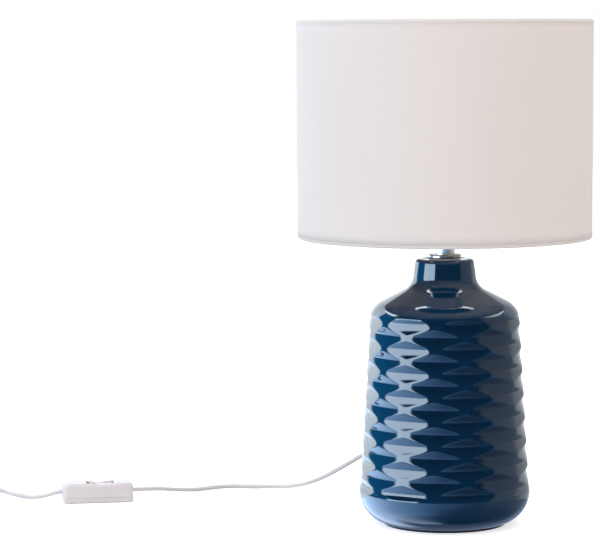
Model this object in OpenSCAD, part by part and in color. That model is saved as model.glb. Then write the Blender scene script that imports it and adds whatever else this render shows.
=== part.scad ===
// Table lamp: a blue glazed ceramic body, a white drum shade and a mains lead with an in-line switch.
// Millimetres. +Z is up, the front is -Y, and the lamp's axis stands on the origin.

/* [Shade] */
// Outer radius of the drum shade
shade_r = 124.55; // [118:0.05:132]
// Height of the shade's lower edge above the table
shade_bottom = 244; // [242:0.5:246]
// Height of the shade's upper edge above the table
shade_top = 427; // [410:1:440]
// Thickness of the woven cover
fabric_t = 0.6; // [0.5:0.1:0.9]
// Thickness of the stiff lining behind the cover
liner_t = 0.5; // [0.4:0.1:0.7]
// Height of the rolled hems on the outside
hem_h = 4; // [3.5:0.5:6]
// Diameter of the shade's steel wires
wire_d = 3; // [2.5:0.1:3.2]
// Number of arms on the shade's carrier
arm_count = 3; // [3:1:4]

/* [Ceramic body] */
// Radius of the body at its widest, near the foot
body_r = 72.6; // [71.5:0.1:74]
// Radius of the body where the shoulder begins
shoulder_r = 64.2; // [62:0.1:66]
// Thickness of the ceramic wall
wall = 5; // [4:0.5:6]
// Radius of the rounding at the foot
foot_round = 28.4; // [27.5:0.1:29]
// Radius of the rounding at the shoulder
shoulder_round = 20.4; // [18:0.1:22]
// Slope of the shoulder above the rounding, in degrees
shoulder_slope = 26.8; // [25:0.1:29]
// Radius of the hollow rounding between shoulder and neck
neck_round = 15.2; // [14:0.1:17]
// Radius at the lower end of the neck
neck_r = 26.6; // [26:0.1:27.5]
// Height of the neck's top
neck_top = 226; // [225:0.5:227]

/* [Lampholder and bulb] */
// Outer radius of the lampholder's threaded sleeve
holder_r = 19.5; // [18.5:0.1:20]
// Height of the lampholder's mouth
holder_mouth = 295; // [292:1:299]
// Radius of the bulb's globe
globe_r = 30; // [28:1:32]
// Height of the top of the bulb
bulb_top = 381; // [376:1:390]

/* [Lead] */
// Width of the flat lead
lead_w = 5.4; // [5:0.1:5.6]
// Thickness of the flat lead
lead_t = 3.3; // [3:0.1:3.4]

/* [Switch] */
// Length of the in-line switch
switch_l = 62.6; // [62:0.2:63]
// Width of the in-line switch
switch_w = 25; // [24:0.5:27]
// Height of the in-line switch
switch_h = 17.5; // [16.5:0.5:18]
// Tilt of the rocker to either side, in degrees
rocker_tilt = 10; // [8:1:10]

/* [Plug] */
// Thickness of the flat plug
plug_t = 13.7; // [13:0.1:14]
// Width of the plug's face
plug_w = 35.3; // [34:0.1:36]

/* [Hidden] */

$fn = 96;
gap = 0.3;
big = 400;

// Ceramic outline
foot_z = 1.5;
foot_centre_z = 28.8;
shoulder_z = 172;
lip_round = 3.2;
lip_r = 24.5;
underside_z = 9;
underside_r = 43;
floor_opening_r = 34;
foot_pad_r = 51.5;
cavity_top_r = neck_r - wall - 0.6;
cavity_top_angle = 192;
rod_hole_r = 5.6;
neck_plate = 7;

// Rod, plate and nuts
rod_r = 5;
rod_bore_r = 3.8;
rod_bottom = 2.2;
rod_top = 247;
rod_slot_z = 22;
rod_slot_h = 30;
plate_t = 1.5;
washer_r = 10;
washer_t = 1.5;
nut_t = 3;
nut_across = 17;
seal_t = 0.5;
disc_r = 14;
disc_t = 3.5;
collar_r = 8.7;
collar_t = 8;

// Lampholder: cap, sleeve, the ceramic insert with its contacts, and the thread for the bulb
holder_z = neck_top + seal_t + disc_t + collar_t;
sleeve_z = holder_z + 22;
holder_wall = 2;
cap_floor = 3;
cap_foot_r = 11;
cap_round = 7;
cap_bore_r = 16;
insert_r = 15.6;
insert_z = sleeve_z - 4;
insert_h = 12;
contact_r = 3;
contact_sunk = 2;
terminal_reach = 9;
terminal_r = 1.8;
terminal_l = 9;
thread_r = 14;
thread_t = 0.5;
ring_h = 5;
ring_r = 27;
carrier_plate_z = 269;
carrier_plate_t = 2;
carrier_plate_r = 25;

// Bulb
bulb_cap_r = 13.2;
bulb_cap_z = insert_z + insert_h + 4;
bulb_cap_h = 22;
bulb_contact_t = 1.2;
bulb_neck_r = 14;
globe_z = bulb_top - globe_r;

// Shade edge
hem_t = 0.4;
wire_r = shade_r - fabric_t - liner_t - wire_d / 2 - 0.1;
top_wire_z = shade_top - hem_t - wire_d / 2 - 0.1;
bottom_wire_z = shade_bottom + hem_t + wire_d / 2 + 0.1;

// Lead exit, on the body's back left side
exit_turn = 135;
exit_z = 50;
exit_seat = 70.6;
exit_reach = 60 * sqrt(2);
gland_bore_r = 5;
gland_flange_r = 8;
gland_flange_t = 2;
lead_rest = 1.7;

// Route of the lead from the gland to the switch
lamp_route = [
    [-60, 60, 50], [-66, 66.2, 49], [-73, 73.8, 45.6], [-81, 83, 39.8], [-90, 94.5, 32.8],
    [-103, 109, 23.4], [-117.5, 124, 14.6], [-132, 138, 8.6], [-147, 150.5, 5.1], [-161, 160.5, 3.4],
    [-174, 168, 2.2], [-187, 171.8, lead_rest], [-200, 170.8, lead_rest], [-212, 164.3, lead_rest],
    [-223, 153.5, 2], [-232.5, 142, 3.1], [-243, 130, 5.3], [-254.5, 118.3, 7.9], [-267, 107.6, 9.4],
    [-279.4, 103.9, 9.5]
];
// Route from the switch to the coil
plug_route = [
    [-340.6, 91.1, 9.5], [-347.3, 90.4, 8.4], [-354, 91.2, 6.2], [-362, 94.7, 4.1], [-370, 101, 2.8],
    [-378.5, 110, 2], [-388, 121.3, lead_rest], [-397, 132.7, lead_rest], [-405, 143.5, lead_rest],
    [-411.2, 152, lead_rest], [-417.6, 160.8, lead_rest], [-424, 169.6, lead_rest]
];
// Route from the coil to the plug
tail_route = [[-424, 169.6, 8.5], [-430, 177.6, 8.4], [-437, 185.8, 7.6], [-444, 193.3, 6.85]];
// Route inside the lamp: reach from the axis and height
inner_route = [
    [64, 50], [54, 49], [44, 45], [34, 38.5], [24, 32], [14, 28.5], [6.5, 30], [2, 36], [0.3, 45],
    [0, 60], [0, 120], [0, 180], [0, 243]
];

// Coil of the rest of the lead
coil_at = [-451, 150];
coil_r = 28;
coil_pitch = lead_w;
coil_layer = 3.4;
tie_turn = 210;
tie_w = 5;

// Switch place and inside
switch_at = [-310, 97.5];
switch_turn = atan(12.5 / 60);
switch_round = 4.5;
seam_z = 4.5;
switch_wall = 2;
cavity_l = 56;
cavity_w = 19;
window_l = 24.4;
pivot_z = 12.8;
pin_r = 1;
pin_fit = 0.05;
rocker_l = 22;
rocker_x = 2.4;
rocker_w = 13;
lead_z = 9.5;
screw_places = [[22, 6], [-22, -6]];
terminal_x = 17;
core_r = 1.2;
core_y = 1.5;

// Plug place and sizes
plug_at = [-444, 193.3];
plug_turn = 133;
boot_l = 22;
boot_tip_r = 3.6;
boot_r = 5.4;
plug_l = 36;
pin_l = 19;
pin_sleeve_l = 10;
pin_spacing = 18.6;
plug_pin_r = 2;
plug_neck_w = 13;
plug_neck_t = 11.2;
plug_neck_l = 9;
plug_cheek_l = 24;
plug_cheek_round = 8;
plug_edge = 1;

// Points of an arc about [x, z] from one angle to another
function arc(x, z, r, from, to, steps) =
    [for (i = [0 : steps]) let (a = from + (to - from) * i / steps) [x + r * cos(a), z + r * sin(a)]];

// Ceramic outline from the foot to the top of the neck
foot_angle = asin((foot_z - foot_centre_z) / foot_round);
cavity_angle = asin((underside_z - foot_centre_z) / (foot_round - wall));
cone_r = shoulder_r - shoulder_round + shoulder_round * sin(shoulder_slope);
cone_z = shoulder_z + shoulder_round * cos(shoulder_slope);
neck_x = neck_r + neck_round;
neck_z = cone_z + (cone_r - neck_x) * tan(shoulder_slope) + neck_round / cos(shoulder_slope);
body_outline = concat(
    arc(body_r - foot_round, foot_centre_z, foot_round, foot_angle, 0, 10),
    arc(shoulder_r - shoulder_round, shoulder_z, shoulder_round, 0, 90 - shoulder_slope, 10),
    arc(neck_x, neck_z, neck_round, 270 - shoulder_slope, 180, 8),
    arc(lip_r - lip_round, neck_top - lip_round, lip_round, 0, 90, 5)
);
// Cavity outline, a wall's thickness inside, from the floor to the neck's plate
cavity_outline = concat(
    arc(body_r - foot_round, foot_centre_z + wall, foot_round - wall, cavity_angle, 0, 8),
    arc(shoulder_r - shoulder_round, shoulder_z, shoulder_round - wall, 0, 90 - shoulder_slope, 8),
    arc(neck_x, neck_z, neck_round + wall, 270 - shoulder_slope, cavity_top_angle, 8),
    [[cavity_top_r, neck_top - neck_plate]]
);

// A ring, or a disc with a hole, standing on z
module ring(outer, inner, height, z = 0) {
    translate([0, 0, z])
        difference() {
            cylinder(r = outer, h = height);
            translate([0, 0, -1]) cylinder(r = inner, h = height + 2);
        }
}

// A round bar from one point to another
module bar(a, b, d) {
    v = b - a;
    length = norm(v);
    translate(a)
        rotate([0, acos(v[2] / length), atan2(v[1], v[0])])
            cylinder(d = d, h = length, $fn = 24);
}

// A steel wire bent to a ring
module wire_ring(r, z) {
    rotate_extrude()
        translate([r, z]) circle(d = wire_d, $fn = 24);
}

// Direction at point i of a route
function route_way(p, i) =
    let (v = p[min(i + 1, len(p) - 1)] - p[max(i - 1, 0)]) v / norm(v);

// Section axes at a direction: one near the reference, one square to it
function axis_near(way, ref) = let (v = ref - (ref * way) * way) v / norm(v);

// A flat lead swept along a route. Its thin side lies near the reference, or its wide side if asked
module sweep_lead(p, ref, way_start, way_end, wide_on_ref = false) {
    sides = 8;
    grow = 1 / cos(180 / sides);
    rings = [
        for (i = [0 : len(p) - 1])
            let (
                way = i == 0 ? way_start : i == len(p) - 1 ? way_end : route_way(p, i),
                near = axis_near(way, ref),
                thin = wide_on_ref ? cross(near, way) : near,
                wide = wide_on_ref ? near : cross(way, near)
            )
            [
                for (k = [0 : sides - 1])
                    let (a = 360 * (k + 0.5) / sides)
                    p[i] + wide * (cos(a) * grow * lead_w / 2) + thin * (sin(a) * grow * lead_t / 2)
            ]
    ];
    points = [for (r = rings, q = r) q];
    last = (len(p) - 1) * sides;
    faces = concat(
        [[for (k = [0 : sides - 1]) k]],
        [
            for (i = [0 : len(p) - 2], k = [0 : sides - 1])
                let (a = i * sides + k, b = i * sides + (k + 1) % sides)
                [a, a + sides, b + sides, b]
        ],
        [[for (k = [sides - 1 : -1 : 0]) last + k]]
    );
    polyhedron(points = points, faces = faces, convexity = 6);
}

// Places its children at the lead's exit, their z along the lead
module at_exit() {
    translate([0, 0, exit_z])
        rotate([0, 90, exit_turn]) children();
}

// A flat slot for the lead, along z, its wide side along y after at_exit
module lead_slot(length, slack = 0.1) {
    half = (lead_w - lead_t) / 2;
    r = lead_t / 2 + slack;
    for (side = [-1, 1])
        translate([0, side * half, 0]) cylinder(r = r, h = length, $fn = 24);
    translate([-r, -half, 0]) cube([2 * r, 2 * half, length]);
}

// ---- Ceramic body and what clamps it ----

module ceramic_body() {
    color("#0b4f7d")
        difference() {
            rotate_extrude($fn = 128)
                polygon(concat([[underside_r, foot_z]], body_outline, [[0, neck_top], [0, underside_z],
                    [underside_r, underside_z]]));
            rotate_extrude($fn = 128)
                polygon(concat([[0, underside_z + wall]], cavity_outline, [[0, neck_top - neck_plate]]));
            cylinder(r = floor_opening_r, h = underside_z + wall + 1);
            cylinder(r = rod_hole_r, h = neck_top + 1);
            at_exit() cylinder(r = gland_bore_r + 0.1, h = body_r + wall, $fn = 32);
            at_exit()
                translate([0, 0, exit_seat]) cylinder(r = gland_flange_r + gap, h = wall, $fn = 32);
        }
}

module foot_pad() {
    color("#2a2a2c") ring(foot_pad_r, underside_r + 1, foot_z);
}

module base_plate() {
    color("#9aa0a6") ring(underside_r - 0.6, rod_r + 0.2, plate_t, underside_z - plate_t);
}

module bottom_washer() {
    color("#b5b9be") ring(washer_r, rod_r + 0.1, washer_t, underside_z - plate_t - washer_t);
}

module bottom_nut() {
    color("#b5b9be")
        translate([0, 0, underside_z - plate_t - washer_t - nut_t])
            difference() {
                cylinder(r = nut_across / 2 / cos(30), h = nut_t, $fn = 6);
                translate([0, 0, -1]) cylinder(r = rod_r, h = nut_t + 2);
            }
}

module threaded_rod() {
    slot_w = 6;
    color("#c9ccd0")
        difference() {
            ring(rod_r, rod_bore_r, rod_top - rod_bottom, rod_bottom);
            rotate([0, 0, exit_turn])
                translate([0, -slot_w / 2, rod_slot_z]) cube([rod_r + 1, slot_w, rod_slot_h]);
        }
}

module neck_seal() {
    color("#f2f2f0") ring(disc_r - 0.8, rod_r + 0.2, seal_t, neck_top);
}

module neck_disc() {
    edge = 1;
    z = neck_top + seal_t;
    color("#d5d8dc")
        rotate_extrude()
            polygon(concat(
                [[rod_r + 0.1, z]],
                arc(disc_r - edge, z + edge, edge, -90, 0, 4),
                arc(disc_r - edge, z + disc_t - edge, edge, 0, 90, 4),
                [[rod_r + 0.1, z + disc_t]]
            ));
}

module neck_collar() {
    z = neck_top + seal_t + disc_t;
    edge = 0.8;
    color("#d5d8dc")
        rotate_extrude()
            polygon(concat(
                [[rod_r + 0.05, z], [collar_r, z]],
                arc(collar_r - edge, z + collar_t - edge, edge, 0, 90, 4),
                [[rod_r + 0.05, z + collar_t]]
            ));
}

// ---- Lampholder ----

module holder_cap() {
    color("#f4f4f2")
        difference() {
            rotate_extrude()
                polygon(concat(
                    [[0, holder_z], [cap_foot_r, holder_z]],
                    arc(cap_foot_r, holder_z + cap_round, cap_round, -90, 0, 8),
                    [[cap_foot_r + cap_round, sleeve_z - gap], [0, sleeve_z - gap]]
                ));
            translate([0, 0, holder_z + cap_floor]) cylinder(r = cap_bore_r, h = sleeve_z);
            translate([0, 0, holder_z - 1]) cylinder(r = rod_r + 0.05, h = cap_floor + 2);
        }
}

module holder_sleeve() {
    color("#f4f4f2")
        difference() {
            translate([0, 0, sleeve_z]) cylinder(r = holder_r, h = holder_mouth - sleeve_z);
            translate([0, 0, sleeve_z - 1]) cylinder(r = holder_r - holder_wall, h = holder_mouth);
        }
}

module holder_core() {
    color("#e8e6df")
        difference() {
            translate([0, 0, insert_z]) cylinder(r = insert_r, h = insert_h);
            for (side = [-1, 1])
                translate([side * terminal_reach, 0, insert_z - 1])
                    cylinder(r = terminal_r + 0.2, h = terminal_l, $fn = 24);
            translate([0, 0, insert_z + insert_h - contact_sunk])
                cylinder(r = contact_r + 0.1, h = contact_sunk + 1);
        }
}

module holder_thread() {
    bottom = insert_z + insert_h;
    color("#c9a545") ring(thread_r, thread_r - thread_t, holder_mouth - bottom - 2, bottom);
}

module centre_contact() {
    bottom = insert_z + insert_h - contact_sunk;
    color("#c9a545")
        translate([0, 0, bottom]) cylinder(r = contact_r, h = bulb_cap_z + 0.45 - bulb_contact_t - bottom);
}

module terminal_screws() {
    color("#c9a545")
        for (side = [-1, 1])
            translate([side * terminal_reach, 0, insert_z - 2]) {
                cylinder(r = terminal_r, h = terminal_l, $fn = 24);
                cylinder(r = terminal_r + 1, h = 2, $fn = 24);
            }
}

// ---- Shade ----

module shade_clamp_ring(z) {
    ribs = 24;
    color("#f4f4f2")
        difference() {
            ring(ring_r, holder_r + 0.05, ring_h, z);
            for (i = [0 : ribs - 1])
                rotate([0, 0, 360 * i / ribs])
                    translate([ring_r + 0.6, 0, z - 1]) cylinder(r = 1.3, h = ring_h + 2, $fn = 16);
        }
}

module shade_ring_lower() {
    shade_clamp_ring(carrier_plate_z - ring_h);
}

module shade_ring_upper() {
    shade_clamp_ring(carrier_plate_z + carrier_plate_t);
}

module shade_carrier() {
    color("#f0f0ee") {
        ring(carrier_plate_r + 4, holder_r + 0.4, carrier_plate_t, carrier_plate_z);
        wire_ring(wire_r, bottom_wire_z);
        for (i = [0 : arm_count - 1])
            rotate([0, 0, 90 + 360 * i / arm_count])
                bar([carrier_plate_r + 4.5, 0, carrier_plate_z + 0.5], [wire_r, 0, bottom_wire_z], wire_d);
    }
}

module shade_top_wire() {
    color("#d8d8d6") wire_ring(wire_r, top_wire_z);
}

module shade_liner() {
    edge = hem_t + 0.1;
    color("#fbfaf5")
        ring(shade_r - fabric_t, shade_r - fabric_t - liner_t, shade_top - shade_bottom - 2 * edge,
            shade_bottom + edge);
}

module shade_fabric() {
    edge = hem_t + 0.1;
    color("#eeeef0")
        ring(shade_r, shade_r - fabric_t, shade_top - shade_bottom - 2 * edge, shade_bottom + edge);
}

// Section of the lower hem: it goes round the cover's edge and under the wire
module hem_section() {
    outer = shade_r + hem_t + 0.05;
    inner = wire_r - wire_d / 2 - 0.1 - hem_t;
    difference() {
        translate([inner, 0]) square([outer - inner, hem_h]);
        translate([inner + hem_t, hem_t]) square([shade_r + 0.05 - inner - hem_t, hem_h]);
        translate([inner - 1, 1.6]) square([hem_t + 1.1, hem_h]);
    }
}

module shade_bottom_hem() {
    color("#e9e9ea")
        translate([0, 0, shade_bottom])
            rotate_extrude() hem_section();
}

module shade_top_hem() {
    color("#e9e9ea")
        translate([0, 0, shade_top])
            rotate_extrude()
                mirror([0, 1]) hem_section();
}

// ---- Bulb ----

module bulb_glass() {
    shell = 1;
    neck_low = bulb_cap_z + bulb_cap_h;
    join = 40;
    color("#fbf6ea")
        rotate_extrude()
            difference() {
                polygon(concat(
                    [[0, neck_low], [bulb_neck_r - 1, neck_low], [bulb_neck_r + 2, neck_low + 16]],
                    arc(0, globe_z, globe_r, -join, 90, 20)
                ));
                polygon(concat(
                    [[0, neck_low + shell], [bulb_neck_r - 2, neck_low + shell],
                        [bulb_neck_r + 1, neck_low + 16 + shell]],
                    arc(0, globe_z, globe_r - shell, -join, 90, 20)
                ));
            }
}

module bulb_cap() {
    color("#c4c7cb") ring(bulb_cap_r, bulb_cap_r - 0.6, bulb_cap_h - 3, bulb_cap_z + 3);
}

module bulb_insulator() {
    color("#26262a")
        rotate_extrude()
            polygon([[0, bulb_cap_z + 0.5], [5, bulb_cap_z + 0.5], [bulb_cap_r - 0.7, bulb_cap_z + 3],
                [bulb_cap_r - 0.7, bulb_cap_z + 5], [0, bulb_cap_z + 5]]);
}

module bulb_contact() {
    color("#c9a545")
        translate([0, 0, bulb_cap_z + 0.5 - bulb_contact_t]) cylinder(r = contact_r + 0.4, h = bulb_contact_t);
}

// ---- Lead ----

module lead_gland() {
    inside = 64;
    color("#f3f3f1")
        at_exit()
            difference() {
                union() {
                    translate([0, 0, inside]) cylinder(r = gland_flange_r - 0.5, h = 1.4, $fn = 32);
                    translate([0, 0, inside]) cylinder(r = gland_bore_r, h = exit_seat - inside + 1, $fn = 32);
                    translate([0, 0, exit_seat]) cylinder(r = gland_flange_r, h = gland_flange_t, $fn = 32);
                    translate([0, 0, exit_seat])
                        rotate_extrude($fn = 32)
                            polygon([[0, 0], [6, 0], [6, gland_flange_t], [4.2, exit_reach - exit_seat],
                                [0, exit_reach - exit_seat]]);
                }
                translate([0, 0, inside - 1]) lead_slot(exit_reach);
            }
}

module lead_inner() {
    out = [cos(exit_turn), sin(exit_turn), 0];
    across = [-sin(exit_turn), cos(exit_turn), 0];
    path = [for (q = inner_route) out * q[0] + [0, 0, q[1]]];
    color("#f5f5f3") sweep_lead(path, across, -out, [0, 0, 1], true);
}

module lead_lamp_side() {
    out = [cos(exit_turn), sin(exit_turn), 0];
    into_switch = [-cos(switch_turn), -sin(switch_turn), 0];
    color("#f5f5f3") sweep_lead(lamp_route, [0, 0, 1], out, into_switch);
}

module lead_plug_side() {
    from_switch = [-cos(switch_turn), -sin(switch_turn), 0];
    color("#f5f5f3")
        sweep_lead(plug_route, [0, 0, 1], from_switch, route_way(plug_route, len(plug_route) - 1));
}

module lead_tail() {
    into_plug = [cos(plug_turn), sin(plug_turn), 0];
    color("#f5f5f3") sweep_lead(tail_route, [0, 0, 1], route_way(tail_route, 0), into_plug);
}

// Outer shape of the coil: two full layers, and one outer turn on top
module lead_coil() {
    half = 1.5 * coil_pitch;
    color("#f5f5f3")
        translate([coil_at[0], coil_at[1], 0])
            rotate_extrude()
                polygon([
                    [coil_r - half, 0.1], [coil_r + half, 0.1], [coil_r + half, 3 * coil_layer],
                    [coil_r + half - coil_pitch, 3 * coil_layer], [coil_r + half - coil_pitch, 2 * coil_layer],
                    [coil_r - half, 2 * coil_layer]
                ]);
}

module coil_tie() {
    half = 1.5 * coil_pitch;
    t = 0.5;
    top = 3 * coil_layer + t;
    color("#3a3a3c")
        translate([coil_at[0], coil_at[1], 0])
            rotate([0, 0, tie_turn])
                translate([coil_r - half - t, -tie_w / 2, 0])
                    difference() {
                        cube([2 * (half + t), tie_w, top]);
                        translate([t, -1, t]) cube([2 * half, tie_w + 2, top - 2 * t]);
                    }
}

// ---- In-line switch ----

module at_switch() {
    translate([switch_at[0], switch_at[1], 0])
        rotate([0, 0, switch_turn]) children();
}

// Places its children at the rocker, off the middle of the switch
module at_rocker() {
    at_switch()
        translate([rocker_x, 0, 0]) children();
}

// Outer form of the switch, with a rounded top
module switch_form() {
    x = switch_l / 2 - switch_round;
    y = switch_w / 2 - switch_round;
    hull()
        for (sx = [-1, 1], sy = [-1, 1])
            translate([sx * x, sy * y, 0]) {
                translate([0, 0, 1]) cylinder(r = switch_round, h = 4, $fn = 32);
                cylinder(r = switch_round - 1, h = 1, $fn = 32);
                translate([0, 0, switch_h - switch_round]) sphere(r = switch_round, $fn = 32);
            }
}

module switch_base() {
    color("#efefee")
        at_switch()
            difference() {
                intersection() {
                    switch_form();
                    translate([-big / 2, -big / 2, 0]) cube([big, big, seam_z]);
                }
                difference() {
                    translate([-cavity_l / 2, -cavity_w / 2, switch_wall]) cube([cavity_l, cavity_w, switch_h]);
                    for (p = screw_places)
                        translate([p[0], p[1], 0]) cylinder(r = 4, h = seam_z, $fn = 32);
                }
                for (p = screw_places)
                    translate([p[0], p[1], -1]) {
                        cylinder(r = 1.5, h = seam_z + 2, $fn = 24);
                        cylinder(r = 3, h = 3, $fn = 32);
                    }
            }
}

module switch_cover() {
    roof = 2.5;
    bottom = seam_z + gap;
    dish_r = 70;
    dish_depth = 1.2;
    boss_in = rocker_w / 2 + 0.35;
    color("#f3f3f2")
        at_switch()
            difference() {
                union() {
                    difference() {
                        intersection() {
                            switch_form();
                            translate([-big / 2, -big / 2, bottom]) cube([big, big, big]);
                        }
                        translate([-cavity_l / 2, -cavity_w / 2, 0])
                            cube([cavity_l, cavity_w, switch_h - roof]);
                    }
                    for (p = screw_places)
                        translate([p[0], p[1], bottom])
                            cylinder(r = 3, h = switch_h - roof - bottom + 0.5, $fn = 32);
                    for (side = [0, 180])
                        translate([rocker_x, 0, 0])
                            rotate([0, 0, side])
                                translate([-2.5, boss_in, pivot_z - 2.5])
                                    cube([5, cavity_w / 2 - boss_in + 0.5, switch_h - roof - pivot_z + 3]);
                }
                translate([rocker_x - window_l / 2, -boss_in, pivot_z])
                    cube([window_l, 2 * boss_in, switch_h]);
                translate([rocker_x, -switch_w, switch_h - dish_depth + dish_r])
                    rotate([-90, 0, 0]) cylinder(r = dish_r, h = 2 * switch_w, $fn = 128);
                translate([rocker_x, cavity_w / 2, pivot_z])
                    rotate([90, 0, 0]) cylinder(r = pin_r, h = cavity_w, $fn = 32);
                for (p = screw_places)
                    translate([p[0], p[1], 0]) cylinder(r = 1.25, h = 12, $fn = 24);
                translate([-switch_l, 0, lead_z])
                    rotate([0, 90, 0]) lead_slot(2 * switch_l);
            }
}

// Side outline of the rocker about its pivot: a hollow top between two raised ends
function rocker_top() =
    [for (i = [0 : 10]) let (x = rocker_l / 2 - rocker_l * i / 10) [x, 3 + 2 * pow(2 * x / rocker_l, 2)]];

module switch_rocker() {
    color("#fafaf9")
        at_rocker()
            translate([0, 0, pivot_z])
                rotate([0, rocker_tilt, 0])
                    rotate([90, 0, 0])
                        translate([0, 0, -rocker_w / 2])
                            difference() {
                                linear_extrude(rocker_w)
                                    polygon(concat(rocker_top(), [[-9.6, -0.6], [-3, -3.6], [3, -3.6], [9.6, -0.6]]));
                                translate([0, 0, -1])
                                    cylinder(r = pin_r + pin_fit, h = rocker_w + 2, $fn = 32);
                            }
}

module rocker_pin() {
    color("#c4c7cb")
        at_rocker()
            translate([0, cavity_w / 2 - 0.2, pivot_z])
                rotate([90, 0, 0]) cylinder(r = pin_r, h = cavity_w - 0.4, $fn = 32);
}

module switch_screws() {
    color("#b5b9be")
        at_switch()
            for (p = screw_places)
                translate([p[0], p[1], 0.5])
                    difference() {
                        union() {
                            cylinder(r = 2.7, h = 1.5, $fn = 32);
                            cylinder(r = 1.2, h = 10, $fn = 24);
                        }
                        translate([-2, -0.3, -0.5]) cube([4, 0.6, 1]);
                        translate([-0.3, -2, -0.5]) cube([0.6, 4, 1]);
                    }
}

module switch_terminals() {
    color("#c9a545")
        at_switch() {
            for (sx = [-1, 1], sy = [-1, 1])
                translate([sx * terminal_x - 2, sy * core_y - core_r, switch_wall])
                    cube([4, 2 * core_r, lead_z + core_r - switch_wall]);
            translate([-8, core_y - core_r, switch_wall]) cube([terminal_x + 6, 2 * core_r, 0.8]);
        }
}

module switch_cores() {
    start = terminal_x + 2;
    color("#8a5a3a")
        at_switch()
            for (sx = [-1, 1], sy = [-1, 1])
                translate([sx * start, sy * core_y, lead_z])
                    rotate([0, sx * 90, 0]) cylinder(r = core_r - 0.1, h = switch_l / 2 - start - gap, $fn = 16);
}

// ---- Plug ----

// Places its children at the plug, their x along it, at the height of its middle
module at_plug() {
    translate([plug_at[0], plug_at[1], plug_t / 2])
        rotate([0, 0, plug_turn]) children();
}

module plug_boot() {
    color("#f3f3f1")
        at_plug()
            rotate([0, 90, 0])
                difference() {
                    cylinder(r1 = boot_tip_r, r2 = boot_r, h = boot_l, $fn = 32);
                    for (i = [0 : 3])
                        translate([0, 0, 4 + 4.5 * i]) ring(boot_r + 2, boot_tip_r - 0.2 + 0.35 * i, 1.4);
                }
}

module plug_body() {
    half = plug_w / 2;
    shoulder = half - 4;
    flat_from = plug_neck_l - 1;
    color("#f5f5f3")
        at_plug()
            translate([boot_l, 0, 0])
                intersection() {
                    translate([0, 0, -plug_t / 2])
                        linear_extrude(plug_t)
                            polygon(concat(
                                [[0, -plug_neck_w / 2], [plug_neck_l, -shoulder]],
                                arc(plug_cheek_l, plug_cheek_round - half, plug_cheek_round, -125, -90, 4),
                                [[plug_l, -half], [plug_l, half]],
                                arc(plug_cheek_l, half - plug_cheek_round, plug_cheek_round, 90, 125, 4),
                                [[plug_neck_l, shoulder], [0, plug_neck_w / 2]]
                            ));
                    translate([0, plug_w, 0])
                        rotate([90, 0, 0])
                            linear_extrude(2 * plug_w)
                                polygon([[0, -plug_neck_t / 2], [flat_from, -plug_t / 2],
                                    [plug_l - plug_edge, -plug_t / 2], [plug_l, -plug_t / 2 + plug_edge],
                                    [plug_l, plug_t / 2 - plug_edge], [plug_l - plug_edge, plug_t / 2],
                                    [flat_from, plug_t / 2], [0, plug_neck_t / 2]]);
                }
}

module plug_sleeves() {
    color("#e6e6e4")
        at_plug()
            for (side = [-1, 1])
                translate([boot_l + plug_l, side * pin_spacing / 2, 0])
                    rotate([0, 90, 0]) cylinder(r = plug_pin_r - 0.1, h = pin_sleeve_l, $fn = 32);
}

module plug_pins() {
    color("#c9ccd0")
        at_plug()
            for (side = [-1, 1])
                translate([boot_l + plug_l + pin_sleeve_l, side * pin_spacing / 2, 0])
                    rotate([0, 90, 0])
                        rotate_extrude($fn = 32)
                            polygon(concat(
                                [[0, 0], [plug_pin_r, 0]],
                                arc(0, pin_l - pin_sleeve_l - plug_pin_r, plug_pin_r, 0, 90, 6)
                            ));
}

ceramic_body();
foot_pad();
base_plate();
bottom_washer();
bottom_nut();
threaded_rod();
neck_seal();
neck_disc();
neck_collar();
holder_cap();
holder_sleeve();
holder_core();
holder_thread();
centre_contact();
terminal_screws();
shade_ring_lower();
shade_ring_upper();
shade_carrier();
shade_top_wire();
shade_liner();
shade_fabric();
shade_top_hem();
shade_bottom_hem();
bulb_glass();
bulb_cap();
bulb_insulator();
bulb_contact();
lead_gland();
lead_inner();
lead_lamp_side();
lead_plug_side();
lead_coil();
lead_tail();
coil_tie();
switch_base();
switch_cover();
switch_rocker();
rocker_pin();
switch_screws();
switch_terminals();
switch_cores();
plug_boot();
plug_body();
plug_sleeves();
plug_pins();
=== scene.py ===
"""Looks of the table lamp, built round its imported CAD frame: metres, +Z up, the front is -Y."""

import math

import bmesh
import bpy
from mathutils import Matrix, Vector


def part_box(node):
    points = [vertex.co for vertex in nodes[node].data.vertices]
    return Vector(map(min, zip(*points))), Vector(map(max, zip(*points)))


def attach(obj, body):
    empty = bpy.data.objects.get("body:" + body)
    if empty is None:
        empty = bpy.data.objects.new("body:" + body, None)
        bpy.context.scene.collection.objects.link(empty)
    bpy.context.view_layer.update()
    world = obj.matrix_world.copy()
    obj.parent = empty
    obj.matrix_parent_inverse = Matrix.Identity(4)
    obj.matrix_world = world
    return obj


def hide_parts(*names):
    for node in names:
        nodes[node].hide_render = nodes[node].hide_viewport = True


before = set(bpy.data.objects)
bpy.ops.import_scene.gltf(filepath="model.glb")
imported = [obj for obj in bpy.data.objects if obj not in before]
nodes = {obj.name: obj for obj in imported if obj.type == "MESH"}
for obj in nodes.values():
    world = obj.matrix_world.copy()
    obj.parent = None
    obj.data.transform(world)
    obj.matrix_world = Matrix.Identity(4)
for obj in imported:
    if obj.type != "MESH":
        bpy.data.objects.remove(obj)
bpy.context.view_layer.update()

# ---- Camera ----

CAMERA_PLACE = (0, -2.3163, 0.4183)
CAMERA_LENS = 164.49
CAMERA_YAW = math.radians(3.03)
CAMERA_DOWN = math.radians(5.106)
CAMERA_ROLL = math.radians(-0.22)


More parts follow.
